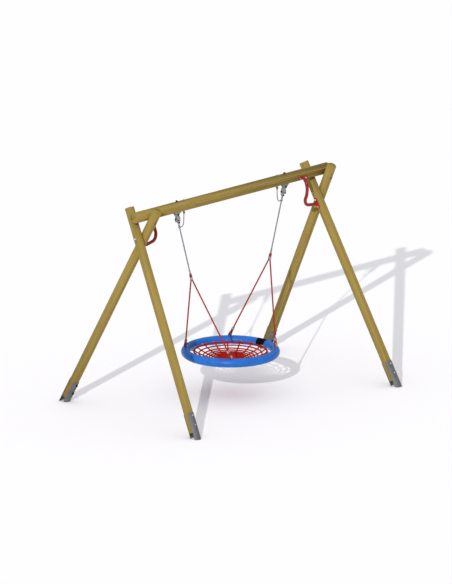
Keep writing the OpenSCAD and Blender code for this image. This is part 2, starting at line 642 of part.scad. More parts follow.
top_beam();
post(-1);  // post_left_outer
post(1);  // post_left_inner
right() post(-1);  // post_right_outer
right() post(1);  // post_right_inner
anchor_shell(-1, -1);  // anchor_left_outer_front
anchor_shell(-1, 1);  // anchor_left_outer_back
anchor_shell(1, -1);  // anchor_left_inner_front
anchor_shell(1, 1);  // anchor_left_inner_back
right() anchor_shell(-1, 1);  // anchor_right_outer_front
right() anchor_shell(-1, -1);  // anchor_right_outer_back
right() anchor_shell(1, 1);  // anchor_right_inner_front
right() anchor_shell(1, -1);  // anchor_right_inner_back
anchor_bolts();
black_nut_caps();
crossing_bolts();
beam_screws();
brace();  // brace_left
right() brace();  // brace_right
brace_bolts();
hanger_bracket();  // hanger_bracket_left
right() hanger_bracket();  // hanger_bracket_right
hanger_studs();
safety_eye_bolts();
bearing_housing();  // bearing_housing_left
right() bearing_housing();  // bearing_housing_right
clamp_bolts();
swing_bushes();
safety_cable();  // safety_cable_left
right() safety_cable();  // safety_cable_right
yoke();  // yoke_left
swing_pin();  // swing_pin_left
cable_pin();  // cable_pin_left
pin_caps();  // pin_caps_left
right() yoke();  // yoke_right
right() swing_pin();  // swing_pin_right
right() cable_pin();  // cable_pin_right
right() pin_caps();  // pin_caps_right
cable_ends();  // cable_ends_left
cable();  // cable_left
cable_clamp();  // cable_clamp_left
rope_loops();  // rope_loops_left
rope_ferrules();  // rope_ferrules_left
rope(-1);  // rope_left_front
rope(1);  // rope_left_back
right() cable_ends();  // cable_ends_right
right() cable();  // cable_right
right() cable_clamp();  // cable_clamp_right
right() rope_loops();  // rope_loops_right
right() rope_ferrules();  // rope_ferrules_right
right() rope(1);  // rope_right_front
right() rope(-1);  // rope_right_back
ring_tube();
ring_cover();
ring_sleeve();
ring_shackles();
ring_pins();
net();
net_clips();
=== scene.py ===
import math

import bpy
import bmesh
import numpy as np
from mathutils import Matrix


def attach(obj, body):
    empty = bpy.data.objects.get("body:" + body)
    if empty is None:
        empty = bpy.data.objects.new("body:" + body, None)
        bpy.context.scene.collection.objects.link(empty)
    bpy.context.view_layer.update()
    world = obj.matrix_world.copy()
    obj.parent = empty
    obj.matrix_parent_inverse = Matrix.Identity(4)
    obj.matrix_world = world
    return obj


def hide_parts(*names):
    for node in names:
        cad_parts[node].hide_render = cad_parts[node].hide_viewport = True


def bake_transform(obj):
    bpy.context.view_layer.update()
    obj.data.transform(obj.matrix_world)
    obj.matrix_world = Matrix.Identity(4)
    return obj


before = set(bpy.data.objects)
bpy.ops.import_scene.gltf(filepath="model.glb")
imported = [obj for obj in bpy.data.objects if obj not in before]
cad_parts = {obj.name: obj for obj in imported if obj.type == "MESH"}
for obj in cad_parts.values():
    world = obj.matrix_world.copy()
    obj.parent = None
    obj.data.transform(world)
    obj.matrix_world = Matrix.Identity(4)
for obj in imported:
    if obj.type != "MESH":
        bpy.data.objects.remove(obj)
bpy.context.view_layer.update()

scene = bpy.context.scene


# ---------------------------------------------------------------- camera
# A long lens far away, low over the front left foot, so that upright lines stay
# upright and the beam's two ends come out the same size.
AIM = (-0.0403, 0.0403, 1.3326)
TURN, RISE = math.radians(-45), math.radians(15.22)
PICTURE_HEIGHT = 7.402
lens = bpy.data.cameras.new("camera")
lens.type = "ORTHO"
lens.ortho_scale = PICTURE_HEIGHT
lens.clip_start, lens.clip_end = 0.1, 200
camera = bpy.data.objects.new("camera", lens)
scene.collection.objects.link(camera)
camera.rotation_euler = (math.pi / 2 - RISE, 0, TURN)
back = (math.sin(TURN) * math.cos(RISE), -math.cos(TURN) * math.cos(RISE), math.sin(RISE))
camera.location = [a + 30 * b for a, b in zip(AIM, back)]
scene.camera = camera


# ---------------------------------------------------------------- cables and ropes of the hangers
# Each hanger is a grey steel-cored cable that ends in a pressed eye, and one length of red
# rope doubled through that eye. Both are laid up from twisted strands round a core.
ALONG = math.radians(16.49082)              # tilt of a hanger from upright
PARTING = np.array([-0.69725, 0, 1.628])    # where the two red ropes part
UP_LINE = np.array([-math.sin(ALONG), 0, math.cos(ALONG)])
RING_END = np.array([0.40411, 0.40411, 0.6378])
ROPE_OUT = 0.0108                           # a rope's offset at the parting
ROPE_D, CABLE_D, SAFETY_D = 0.020, 0.018, 0.012
ROPE_LAY, CABLE_LAY = 0.104, 0.130          # length of one full twist
SIDES = {"left": np.array([1, 1, 1]), "right": np.array([-1, -1, 1])}


def tone(code):
    """Turns an sRGB hex colour into linear red, green, blue and alpha, channel by channel."""
    part = [int(code[i:i + 2], 16) / 255 for i in (0, 2, 4)]
    return [c / 12.92 if c <= 0.04045 else ((c + 0.055) / 1.055) ** 2.4 for c in part] + [1]


def add(tree, kind, inputs=None, stops=None, **settings):
    """Adds a node: settings are its properties, inputs its socket values or links, stops a ramp."""
    node = tree.nodes.new("ShaderNode" + kind)
    for key, value in settings.items():
        setattr(node, key, value)
    for key, value in (inputs or {}).items():
        if isinstance(value, bpy.types.NodeSocket):
            tree.links.new(value, node.inputs[key])
        else:
            node.inputs[key].default_value = value
    if stops:
        ramp = node.color_ramp
        while len(ramp.elements) < len(stops):
            ramp.elements.new(0.5)
        for element, (place, colour) in zip(ramp.elements, stops):
            element.position, element.color = place, tone(colour)
    return node


def started(name):
    """Starts a material: its node tree, its shader and the piece's own coordinates."""
    material = bpy.data.materials.new(name)
    material.use_nodes = True
    tree = material.node_tree
    tree.nodes.clear()
    shader = add(tree, "BsdfPrincipled")
    add(tree, "OutputMaterial", {"Surface": shader.outputs[0]})
    return material, tree, shader, add(tree, "TexCoord")


def laid_rope(name, light, dark, rough):
    """Twisted rope or cable: fibres run across the strands, worn dull, with almost no shine."""
    material, tree, shader, place = started(name)
    weave = add(tree, "Mapping", {"Vector": place.outputs["UV"], "Scale": (6, 220, 1)})
    fibre = add(tree, "TexNoise", {"Vector": weave.outputs[0], "Scale": 2.0, "Detail": 3.0})
    wear = add(tree, "TexNoise", {"Vector": place.outputs["Object"], "Scale": 24.0, "Detail": 4.0})
    both = add(tree, "Math", {0: fibre.outputs[0], 1: wear.outputs[0]}, operation="ADD")
    half = add(tree, "Math", {0: both.outputs[0], 1: 0.5}, operation="MULTIPLY")
    ramp = add(tree, "ValToRGB", {0: half.outputs[0]}, stops=[(0.35, dark), (0.62, light)])
    bump = add(tree, "Bump", {"Height": fibre.outputs[0], "Strength": 0.35, "Distance": 0.0006})
    tree.links.new(ramp.outputs[0], shader.inputs["Base Color"])
    tree.links.new(bump.outputs[0], shader.inputs["Normal"])
    shader.inputs["Roughness"].default_value = rough
    shader.inputs["Specular IOR Level"].default_value = 0.12
    return material


def carry(path, outline, side, closed=False):
    """Carries an outline along a path: point = path + x * across + y * up. Ahead is the
    difference of a point's neighbours, up is ahead cross side, and across is up cross ahead."""
    ahead = np.roll(path, -1, 0) - np.roll(path, 1, 0)
    if not closed:
        ahead[0], ahead[-1] = path[1] - path[0], path[-1] - path[-2]
    ahead = ahead / np.linalg.norm(ahead, axis=1)[:, None]
    up = np.cross(ahead, side)
    up = up / np.linalg.norm(up, axis=1)[:, None]
    across = np.cross(up, ahead)
    return path[:, None] + outline[..., :1] * across[:, None] + outline[..., 1:] * up[:, None]


def strands_of(path, radius, strands, lay, closed=False, core=0.76, columns=6):
    """Outline of a laid rope at each step: the outer edge of a ring of round strands that touch,
    centre * cos(a) + sqrt(strand^2 - (centre * sin(a))^2), filled to the core's radius, and
    turned once for every lay along the path."""
    step = np.linalg.norm(np.diff(path, axis=0), axis=1)
    run = np.concatenate([[0], np.cumsum(step)])
    length = run[-1] + (step[0] if closed else 0)
    turns = round(length / lay) if closed else length / lay
    angle = np.linspace(0, 2 * np.pi, strands * columns, endpoint=False)
    share = 2 * np.pi / strands
    off = (angle[None] - 2 * np.pi * turns * run[:, None] / length + share / 2) % share - share / 2
    centre = radius / (1 + math.sin(math.pi / strands))
    inside = np.maximum((radius - centre) ** 2 - (centre * np.sin(off)) ** 2, 0)
    reach = np.maximum(centre * np.cos(off) + np.sqrt(inside), core * radius)
    return reach[..., None] * np.stack([np.cos(angle), np.sin(angle)], -1)


def skin(name, grids, material, sharp=40):
    """One mesh from grids of points (steps along, columns round, 3), each with a flag that says
    whether it closes on itself: quads between neighbours, a flat end where it does not close.
    UV is the share of the way round, and metres along."""
    corners, faces, uvs, base = [], [], [], 0
    for points, closed in grids:
        steps, columns = points.shape[:2]
        rows = np.arange(steps if closed else steps - 1)
        i, j = np.meshgrid(rows, np.arange(columns), indexing="ij")
        i2, j2 = (i + 1) % steps, (j + 1) % columns
        quads = base + np.stack([i * columns + j, i * columns + j2,
                                 i2 * columns + j2, i2 * columns + j], -1)
        middle = points.mean(1)
        gap = np.linalg.norm(np.roll(middle, -1, 0) - middle, axis=1)
        run = np.concatenate([[0], np.cumsum(gap)])
        u, v = np.stack([j, j + 1, j + 1, j], -1) / columns, run[np.stack([i, i, i + 1, i + 1], -1)]
        faces += quads.reshape(-1, 4).tolist()
        uvs.append(np.stack([u, v], -1).reshape(-1, 2))
        if not closed:
            faces += [[base + columns - 1 - k for k in range(columns)],
                      [base + (steps - 1) * columns + k for k in range(columns)]]
            uvs.append(np.zeros((2 * columns, 2)))
        corners.append(points.reshape(-1, 3))
        base += steps * columns
    mesh = bpy.data.meshes.new(name)
    mesh.from_pydata(np.concatenate(corners), [], faces)
    layer = mesh.uv_layers.new(name="run")
    layer.data.foreach_set("uv", np.concatenate(uvs).ravel().astype(np.float32))
    mesh.shade_smooth()
    mesh.set_sharp_from_angle(angle=math.radians(sharp))
    mesh.materials.append(material)
    piece = bpy.data.objects.new(name, mesh)
    scene.collection.objects.link(piece)
    return piece


def stretch(a, b, step=0.0065):
    """Points from a to b, a step apart."""
    count = max(2, int(round(np.linalg.norm(b - a) / step)) + 1)
    return a + (b - a) * np.linspace(0, 1, count)[:, None]


red_rope = laid_rope("twisted_polyester_red", "9E2C24", "7A1D17", 0.7)
grey_rope = laid_rope("twisted_cable_grey", "858580", "73736E", 0.65)
ROPE_START = 0.086                          # ring pin up to the ferrule's top
CABLE_START, CABLE_L = 0.1315, 0.64875        # parting up to the cable's foot, and its length
for side, turn in SIDES.items():
    foot = (PARTING + CABLE_START * UP_LINE) * turn
    head = (PARTING + (CABLE_START + CABLE_L) * UP_LINE) * turn
    path = stretch(foot, head)
    cable = skin("hanging_cable_" + side, [(carry(
        path, strands_of(path, CABLE_D / 2, 6, CABLE_LAY, core=0.86, columns=4),
        (0, 1, 0)), False)], grey_rope)
    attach(cable, side + "_hanger")
    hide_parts("cable_" + side)
    for end, way in (("front", -1), ("back", 1)):
        way *= turn[1]                      # the right hanger is the left one turned round
        low = RING_END * (-1, way, 1)
        high = PARTING + (0, way * ROPE_OUT, 0)
        unit = (high - low) / np.linalg.norm(high - low)
        path = stretch(low + ROPE_START * unit, high) * turn
        rope = skin(f"laid_rope_{side}_{end}", [(carry(
            path, strands_of(path, ROPE_D / 2, 4, ROPE_LAY), (0, 1, 0)), False)], red_rope)
        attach(rope, side + "_hanger")
        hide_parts(f"rope_{side}_{end}")


# ---------------------------------------------------------------- safety cables
# A thinner grey cable hangs slack beside each bearing, from an eye bolt under the beam to a
# clamp on the hanger, to catch the seat if a bearing should fail. It crosses two joints, so it
# is two pieces that meet at the cut.
CLAMP = np.array([-0.91366, 0, 2.35902])
EYE = np.array([-0.835, 0, 2.52002])
SWING_Z = 2.47502
ROUTE = np.array([
    EYE, EYE - (0, 0, 0.030), (-0.836, 0, SWING_Z - 0.015), (-0.838, 0, SWING_Z - 0.045),
    (-0.843, 0, SWING_Z - 0.073), CLAMP + (0.064, 0, 0.021), CLAMP + (0.052, 0, 0.006),
    CLAMP + (0.038, 0, 0), CLAMP + (0.026, 0, 0), CLAMP + (0.014, 0, 0)])


def smooth_route(route, parts):
    """Smooth curve through the route: on each leg 0.5 * (2b + (c - a) f + (2a - 5b + 4c - d) f^2
    + (3b - a - 3c + d) f^3), where a, b, c, d are its four nearest points and f runs 0 to 1."""
    legs = len(route) - 1
    where = np.minimum(np.arange(legs * parts + 1) / parts, legs - 1e-9)
    leg, f = where.astype(int), (where % 1)[:, None]
    a, b, c, d = (route[np.clip(leg + k, 0, legs)] for k in (-1, 0, 1, 2))
    return 0.5 * (2 * b + (c - a) * f + (2 * a - 5 * b + 4 * c - d) * f ** 2
                  + (3 * b - a - 3 * c + d) * f ** 3)


safety_grey = laid_rope("twisted_safety_cable", "6E6C66", "5C5A55", 0.6)
LEG_PARTS, CUT = 6, 4 * 6                   # steps to a leg; step where the first piece ends
for side, turn in SIDES.items():
    path = smooth_route(ROUTE, LEG_PARTS) * turn
    tube = carry(path, strands_of(path, SAFETY_D / 2, 6, 0.07, core=0.86, columns=4), (0, 1, 0))
    slack = skin("safety_cable_laid_" + side, [(tube[:CUT + 1], False)], safety_grey)
    clamped = skin("safety_cable_foot_" + side, [(tube[CUT:], False)], safety_grey)
    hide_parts("safety_cable_" + side)
    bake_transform(slack)
    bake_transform(clamped)


# ---------------------------------------------------------------- rope eyes
# Where the red rope doubles: one bight round the cable's lower eye, and a loop round each pin
# on the ring, every one held shut by a pressed ferrule.
PAIR_GAP = ROPE_D / 2 + 0.0002
FERRULE, BIGHT_C, BIGHT_R = 0.037, 0.060, 0.0135
LOOP_L, LOOP_R = 0.050, 0.0178


def eye_path(radius, gap, start, centre, way):
    """Centre line of a doubled rope in its own plane: it leaves the ferrule at half the gap,
    opens to the radius as t^2 (3 - 2t), goes half round, and comes back mirrored."""
    t = np.linspace(0, 1, 9)[:, None]
    opening = np.hstack([gap + (radius - gap) * t * t * (3 - 2 * t), 0 * t,
                         start + (centre - start) * t])
    q = np.radians(np.linspace(10, 170, 17))[:, None]
    bow = np.hstack([radius * np.cos(q), 0 * q, centre + way * radius * np.sin(q)])
    return np.vstack([opening, bow, opening[::-1] * (-1, 1, 1)])


for side, turn in SIDES.items():
    grids = []
    flat = eye_path(BIGHT_R, PAIR_GAP, FERRULE, BIGHT_C, 1)
    tilt = np.array([(0, 1, 0), (0, 0, 0), UP_LINE])
    path = (PARTING + flat @ tilt) * turn
    side_on = np.cross(UP_LINE, (0, 1, 0)) * turn
    grids.append((carry(path, strands_of(path, ROPE_D / 2, 4, ROPE_LAY), side_on), False))
    for way in (-1, 1):
        low = RING_END * (-1, way, 1)
        high = PARTING + (0, way * ROPE_OUT, 0)
        w = (high - low) / np.linalg.norm(high - low)
        bend, lean = math.asin(w[0]), math.atan2(-w[1], w[2])
        x_axis = np.array([math.cos(bend), math.sin(bend) * math.sin(lean),
                           -math.sin(bend) * math.cos(lean)])
        flat = eye_path(LOOP_R, PAIR_GAP, LOOP_L, 0, -1)
        path = (low + flat @ np.array([x_axis, (0, 0, 0), w])) * turn
        side_on = np.array([0, math.cos(lean), math.sin(lean)]) * turn
        grids.append((carry(path, strands_of(path, ROPE_D / 2, 4, ROPE_LAY), side_on), False))
    eyes = skin("rope_eyes_" + side, grids, red_rope)
    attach(eyes, side + "_hanger")
    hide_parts("rope_loops_" + side)


# ---------------------------------------------------------------- timber
# Four round posts and the top beam are turned softwood logs, pressure treated to an olive
# brown: fine streaks along the grain, a few drying cracks, and growth rings on the cut ends.
CROSS = np.array([-1.593, 0, 2.353])
POST_APART = 0.120761
LEAN, SPLAY = math.radians(5), math.radians(27.6405)
BEAM_Z = 2.63301
GRAIN_SHIFT = {("left", "outer"): 0.0, ("left", "inner"): 3.7,     # no two posts match
               ("right", "outer"): 7.1, ("right", "inner"): 11.9}


def treated_timber(name):
    """Treated softwood: dry and mostly dull, darker between the fibres and round the cracks."""
    material, tree, shader, place = started(name)
    grain = add(tree, "Attribute", attribute_name="grain")
    fine = add(tree, "Mapping", {"Vector": grain.outputs["Vector"], "Scale": (170, 170, 5)})
    fibres = add(tree, "TexNoise", {"Vector": fine.outputs[0], "Scale": 1.0, "Detail": 4.0,
                                    "Roughness": 0.6})
    broad = add(tree, "Mapping", {"Vector": grain.outputs["Vector"], "Scale": (30, 30, 1.6)})
    streaks = add(tree, "TexNoise", {"Vector": broad.outputs[0], "Scale": 1.0, "Detail": 3.0})
    rings = add(tree, "TexWave", {"Vector": grain.outputs["Vector"], "Scale": 55.0,
                                  "Distortion": 3.0, "Detail": 2.0, "Detail Scale": 0.4},
                wave_type="RINGS", rings_direction="Z")
    mixed = add(tree, "Math", {0: fibres.outputs[0], 1: 0.45, 2: 0.0}, operation="MULTIPLY_ADD")
    more = add(tree, "Math", {0: streaks.outputs[0], 1: 0.45, 2: mixed.outputs[0]},
               operation="MULTIPLY_ADD")
    all_three = add(tree, "Math", {0: rings.outputs["Fac"], 1: 0.12, 2: more.outputs[0]},
                    operation="MULTIPLY_ADD")
    colour = add(tree, "ValToRGB", {0: all_three.outputs[0]},
                 stops=[(0.30, "7A6531"), (0.45, "8A753A"), (0.58, "937E40"), (0.75, "9A8748")])
    cracked = add(tree, "Mapping", {"Vector": grain.outputs["Vector"], "Scale": (55, 55, 1.3)})
    cells = add(tree, "TexVoronoi", {"Vector": cracked.outputs[0], "Scale": 1.0},
                feature="DISTANCE_TO_EDGE")
    crack = add(tree, "ValToRGB", {0: cells.outputs["Distance"]},
                stops=[(0.0, "5A4724"), (0.035, "FFFFFF")])
    shown = add(tree, "Mix", {0: 0.12, 6: colour.outputs[0], 7: crack.outputs[0]},
                data_type="RGBA", blend_type="MULTIPLY")
    tree.links.new(shown.outputs[2], shader.inputs["Base Color"])
    height = add(tree, "Math", {0: crack.outputs[0], 1: 1.0, 2: all_three.outputs[0]},
                 operation="MULTIPLY_ADD")
    bump = add(tree, "Bump", {"Height": height.outputs[0], "Strength": 0.2, "Distance": 0.0012})
    tree.links.new(bump.outputs[0], shader.inputs["Normal"])
    shader.inputs["Roughness"].default_value = 0.72
    shader.inputs["Specular IOR Level"].default_value = 0.12
    return material


def smoothed(node, material, body, sharp=32):
    """Copies a frame node with its doubled corners merged, so that round faces shade smoothly."""
    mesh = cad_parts[node].data.copy()
    mesh.name = node + "_shown"
    work = bmesh.new()
    work.from_mesh(mesh)
    bmesh.ops.remove_doubles(work, verts=work.verts, dist=1e-5)
    work.to_mesh(mesh)
    work.free()
    mesh.shade_smooth()
    mesh.set_sharp_from_angle(angle=math.radians(sharp))
    mesh.materials.clear()
    mesh.materials.append(material)
    piece = bpy.data.objects.new(node + "_shown", mesh)
    scene.collection.objects.link(piece)
    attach(piece, body)
    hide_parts(node)
    return piece


def grain_along(piece, start, axis):
    """Writes each corner's place in the log: across, across the other way, and along the grain."""
    z = np.array(axis) / np.linalg.norm(axis)
    x = np.cross(z, (0.1, 0.2, 0.9) if abs(z[2]) < 0.8 else (0.9, 0.1, 0.2))
    x /= np.linalg.norm(x)
    corners = np.empty(len(piece.data.vertices) * 3, np.float32)
    piece.data.vertices.foreach_get("co", corners)
    place = (corners.reshape(-1, 3) - start) @ np.array([x, np.cross(z, x), z]).T
    layer = piece.data.attributes.new("grain", "FLOAT_VECTOR", "POINT")
    layer.data.foreach_set("vector", place.ravel().astype(np.float32))


timber = treated_timber("treated_softwood")
beam = smoothed("top_beam", timber, "frame")
grain_along(beam, (0.3, 0.004, BEAM_Z + 0.003), (1, 0, 0))
for side, turn in SIDES.items():
    for name, way in (("outer", -1), ("inner", 1)):
        axis = np.array([math.cos(SPLAY) * math.sin(LEAN), -way * math.sin(SPLAY),
                         math.cos(SPLAY) * math.cos(LEAN)])
        post = smoothed(f"post_{side}_{name}", timber, "frame")
        middle = (CROSS + (way * POST_APART / 2, 0, 0)) * turn
        grain_along(post, middle + GRAIN_SHIFT[side, name] * axis * turn, axis * turn)


# ---------------------------------------------------------------- post anchors
# Two bent steel half shells clasp the foot of each post and hold it clear of the ground. They
# are painted dark grey, and bolted through with a capped nut on one side.
def dull_metal(name, light, dark, rough, metallic, grain_mm=1.2, bump=0.2, shine=0.5):
    """Coated or plated metal, or moulded plastic: faint clouds of colour and a pebbled skin."""
    material, tree, shader, place = started(name)
    clouds = add(tree, "TexNoise", {"Vector": place.outputs["Object"], "Scale": 14.0,
                                    "Detail": 5.0, "Roughness": 0.6})
    skin_grain = add(tree, "TexNoise", {"Vector": place.outputs["Object"],
                                        "Scale": 1000 / grain_mm, "Detail": 2.0})
    colour = add(tree, "ValToRGB", {0: clouds.outputs[0]}, stops=[(0.35, dark), (0.65, light)])
    gloss = add(tree, "MapRange", {0: clouds.outputs[0], 1: 0.3, 2: 0.7,
                                   3: rough - 0.06, 4: rough + 0.08})
    relief = add(tree, "Bump", {"Height": skin_grain.outputs[0], "Strength": bump,
                                "Distance": 0.0002})
    tree.links.new(colour.outputs[0], shader.inputs["Base Color"])
    tree.links.new(gloss.outputs[0], shader.inputs["Roughness"])
    tree.links.new(relief.outputs[0], shader.inputs["Normal"])
    shader.inputs["Metallic"].default_value = metallic
    shader.inputs["Specular IOR Level"].default_value = shine
    return material


anchor_grey = dull_metal("powder_coated_steel_grey", "646466", "525255", 0.5, 0.0, shine=0.3)
zinc = dull_metal("zinc_plated_steel", "B9BABC", "97989B", 0.34, 0.9)
black_plastic = dull_metal("moulded_black_polyamide", "0E0E0F", "08080A", 0.5, 0.0, shine=0.15)
for side in SIDES:
    for post in ("outer", "inner"):
        for face in ("front", "back"):
            smoothed(f"anchor_{side}_{post}_{face}", anchor_grey, "frame")
smoothed("anchor_bolts", zinc, "frame")
smoothed("black_nut_caps", black_plastic, "frame")


# ---------------------------------------------------------------- frame bolts
# Domed coach bolts join each pair of posts where they cross, and screws hold the beam in the
# fork above; their zinc has dulled.
dark_zinc = dull_metal("weathered_zinc_steel", "5E5F61", "454648", 0.5, 0.6)
smoothed("crossing_bolts", zinc, "frame")
smoothed("beam_screws", dark_zinc, "frame")


# ---------------------------------------------------------------- braces
# A bent steel tube with a curved plate welded to each end stiffens each corner, painted dark
# red; every plate is held by two domed bolts.
BRACE_D, PLATE_T, PLATE_L = 0.042, 0.006, 0.140
PLATE_TURN, PLATE_ARC = math.radians(68), math.radians(48)
BRACE_DROP, BEAM_R, POST_R, WOOD_GAP = 0.140, 0.070, 0.060, 0.0003


def gloss_paint(name, light, dark, rough):
    """Gloss enamel over steel: even colour, slight orange peel, a clear wet-looking coat."""
    material, tree, shader, place = started(name)
    peel = add(tree, "TexNoise", {"Vector": place.outputs["Object"], "Scale": 260.0, "Detail": 2.0})
    clouds = add(tree, "TexNoise", {"Vector": place.outputs["Object"], "Scale": 9.0, "Detail": 4.0})
    colour = add(tree, "ValToRGB", {0: clouds.outputs[0]}, stops=[(0.35, dark), (0.65, light)])
    relief = add(tree, "Bump", {"Height": peel.outputs[0], "Strength": 0.08, "Distance": 0.0004})
    tree.links.new(colour.outputs[0], shader.inputs["Base Color"])
    tree.links.new(relief.outputs[0], shader.inputs["Normal"])
    shader.inputs["Roughness"].default_value = rough
    shader.inputs["Specular IOR Level"].default_value = 0.25
    shader.inputs["Coat Weight"].default_value = 0.12
    shader.inputs["Coat Roughness"].default_value = 0.12
    return material


def curved_plate(centre, out, along, radius):
    """A plate bent round a log, as a ring of section points carried along the log: the section
    is an arc at the log's radius out and back at the plate's outer radius. Its long corners
    pull in at both ends by an ellipse's quarter."""
    steps, half = 25, 12
    run = np.sin(np.linspace(-np.pi / 2, np.pi / 2, steps))
    corner = 0.018
    inset = np.clip((np.abs(run) * PLATE_L / 2 - PLATE_L / 2 + corner) / corner, 0, 1)
    half_arc = PLATE_ARC / 2 - corner / radius * (1 - np.sqrt(1 - inset ** 2))
    f = np.linspace(-1, 1, half)
    inner, outer = radius + WOOD_GAP, radius + WOOD_GAP + PLATE_T
    edge = 0.0012
    angle = half_arc[:, None] * np.concatenate([f, f[::-1]])[None]
    reach = np.concatenate([np.full(half, inner), np.full(half, outer)])
    reach[[half, 2 * half - 1]] -= edge
    side = np.cross(along, out)
    spread = np.cos(angle)[..., None] * out + np.sin(angle)[..., None] * side
    grid = centre + reach[None, :, None] * spread + (run * PLATE_L / 2)[:, None, None] * along
    return grid


brace_red = gloss_paint("gloss_enamel_dark_red", "93130F", "7F0E0B", 0.3)
n_beam = np.array([0, math.sin(PLATE_TURN), -math.cos(PLATE_TURN)])
n_post = np.array([math.cos(LEAN), 0, -math.sin(LEAN)])
post_axis = np.array([math.cos(SPLAY) * math.sin(LEAN), -math.sin(SPLAY),
                      math.cos(SPLAY) * math.cos(LEAN)])
on_beam = np.array([-1.235, 0, BEAM_Z])
on_post = CROSS + (POST_APART / 2, 0, 0) - BRACE_DROP * post_axis
top, low = on_beam + BEAM_R * n_beam, on_post + POST_R * n_post
BRACE_ROUTE = np.array([
    top + 0.019 * n_beam, top + (0.005, 0.042, -0.024), top + (0.010, 0.074, -0.070),
    top + (0.007, 0.082, -0.136), (top + low) / 2 + (0.130, 0.068, -0.030),
    low + (0.248, 0.040, 0.108), low + (0.226, 0.022, 0.056), low + (0.184, 0.014, 0.020),
    low + (0.114, 0.006, 0.006), low + 0.044 * n_post, low + 0.016 * n_post])
for side, turn in SIDES.items():
    path = np.vstack([top + 0.0035 * n_beam, smooth_route(BRACE_ROUTE, 8), low + 0.0035 * n_post])
    angle = np.linspace(0, 2 * np.pi, 40, endpoint=False)
    circle = np.stack([np.cos(angle), np.sin(angle)], -1)
    rings = np.linalg.norm(np.diff(path, axis=0), axis=1)
    run = np.concatenate([[0], np.cumsum(rings)])
    to_end = np.minimum(run, run[-1] - run)
    weld = 0.0045 * np.exp(-((to_end - 0.002) / 0.0035) ** 2)
    tube = carry(path, (BRACE_D / 2 + weld)[:, None, None] * circle[None], (0.5, 0.6, 0.62))
    plates = [curved_plate(on_beam, n_beam, np.array([1.0, 0, 0]), BEAM_R),
              curved_plate(on_post, n_post, post_axis, POST_R)]
    brace = skin("bent_brace_" + side, [(tube * turn, False)] + [(p * turn, False) for p in plates],
                 brace_red, sharp=50)
    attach(brace, "frame")
    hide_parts("brace_" + side)
bright_zinc = dull_metal("bright_zinc_steel", "D2D3D5", "B9BABC", 0.28, 0.9)
smoothed("brace_bolts", bright_zinc, "frame")


# ---------------------------------------------------------------- bearings
# A bracket under the beam clamps each bearing housing; a yoke hangs from the bearing's pin and
# carries the cable's eye. Cast and welded parts are hot-dip galvanised, with black plastic caps.
galvanised = dull_metal("hot_dip_galvanised_steel", "8C8C86", "777772", 0.55, 0.1, grain_mm=2.5)
bronze = dull_metal("sintered_bronze", "9A7B45", "82663A", 0.45, 0.9)
for side in SIDES:
    smoothed("hanger_bracket_" + side, galvanised, "frame")
    smoothed("bearing_housing_" + side, galvanised, "frame")
    smoothed("yoke_" + side, galvanised, side + "_yoke")
    smoothed("swing_pin_" + side, zinc, side + "_yoke")
    smoothed("cable_pin_" + side, zinc, side + "_yoke")
    smoothed("pin_caps_" + side, black_plastic, side + "_yoke")
    smoothed("cable_clamp_" + side, galvanised, side + "_hanger")
smoothed("hanger_studs", galvanised, "frame")
eyes = smoothed("safety_eye_bolts", galvanised, "frame")
eyes.data.materials.append(black_plastic)
for face in eyes.data.polygons:             # the cross bolt's two domed caps are black plastic
    face.material_index = int(face.center.z < BEAM_Z - BEAM_R and abs(face.center.y) > 0.0131)
smoothed("clamp_bolts", black_plastic, "frame")
smoothed("swing_bushes", bronze, "frame")


# ---------------------------------------------------------------- eyes and ferrules
# Pressed aluminium sleeves close the cable's ends and the rope's eyes.
pressed = dull_metal("pressed_aluminium", "A9AAA6", "8C8D8A", 0.42, 0.75)
for side in SIDES:
    smoothed("cable_ends_" + side, pressed, side + "_hanger")
    smoothed("rope_ferrules_" + side, pressed, side + "_hanger")


# ---------------------------------------------------------------- seat ring
# A round steel tube inside a thick foam ring with a smooth, glossy blue skin. Four shackles
# come up through slots in it, and its clips pass through holes in its inner side.
RING_H, RING_R, COVER_R = 0.553, 0.5715, 0.0560
SHACKLE_TURNS = np.radians([45, 135, 225, 315])


def round_ring(around, outline):
    """A ring about Z: at turn a and outline (out, up), the point is
    ((R + out) cos a, (R + out) sin a, height + up)."""
    a = np.asarray(around)[:, None]
    out, up = RING_R + outline[..., 0], outline[..., 1]
    return np.stack([out * np.cos(a), out * np.sin(a), RING_H + up], -1)


def blue_skin(name):
    """Soft PVC skin on foam: saturated, glossy, with faint cloudy wear and a shallow ripple."""
    material, tree, shader, place = started(name)
    clouds = add(tree, "TexNoise", {"Vector": place.outputs["Object"], "Scale": 7.0, "Detail": 4.0})
    colour = add(tree, "ValToRGB", {0: clouds.outputs[0]},
                 stops=[(0.35, "1B5CAE"), (0.65, "2266BA")])
    ripple = add(tree, "TexNoise", {"Vector": place.outputs["Object"], "Scale": 45.0,
                                    "Detail": 2.0})
    gloss = add(tree, "MapRange", {0: clouds.outputs[0], 1: 0.3, 2: 0.7, 3: 0.30, 4: 0.38})
    relief = add(tree, "Bump", {"Height": ripple.outputs[0], "Strength": 0.05, "Distance": 0.002})
    tree.links.new(colour.outputs[0], shader.inputs["Base Color"])
    tree.links.new(gloss.outputs[0], shader.inputs["Roughness"])
    tree.links.new(relief.outputs[0], shader.inputs["Normal"])
    shader.inputs["Specular IOR Level"].default_value = 0.14
    return material


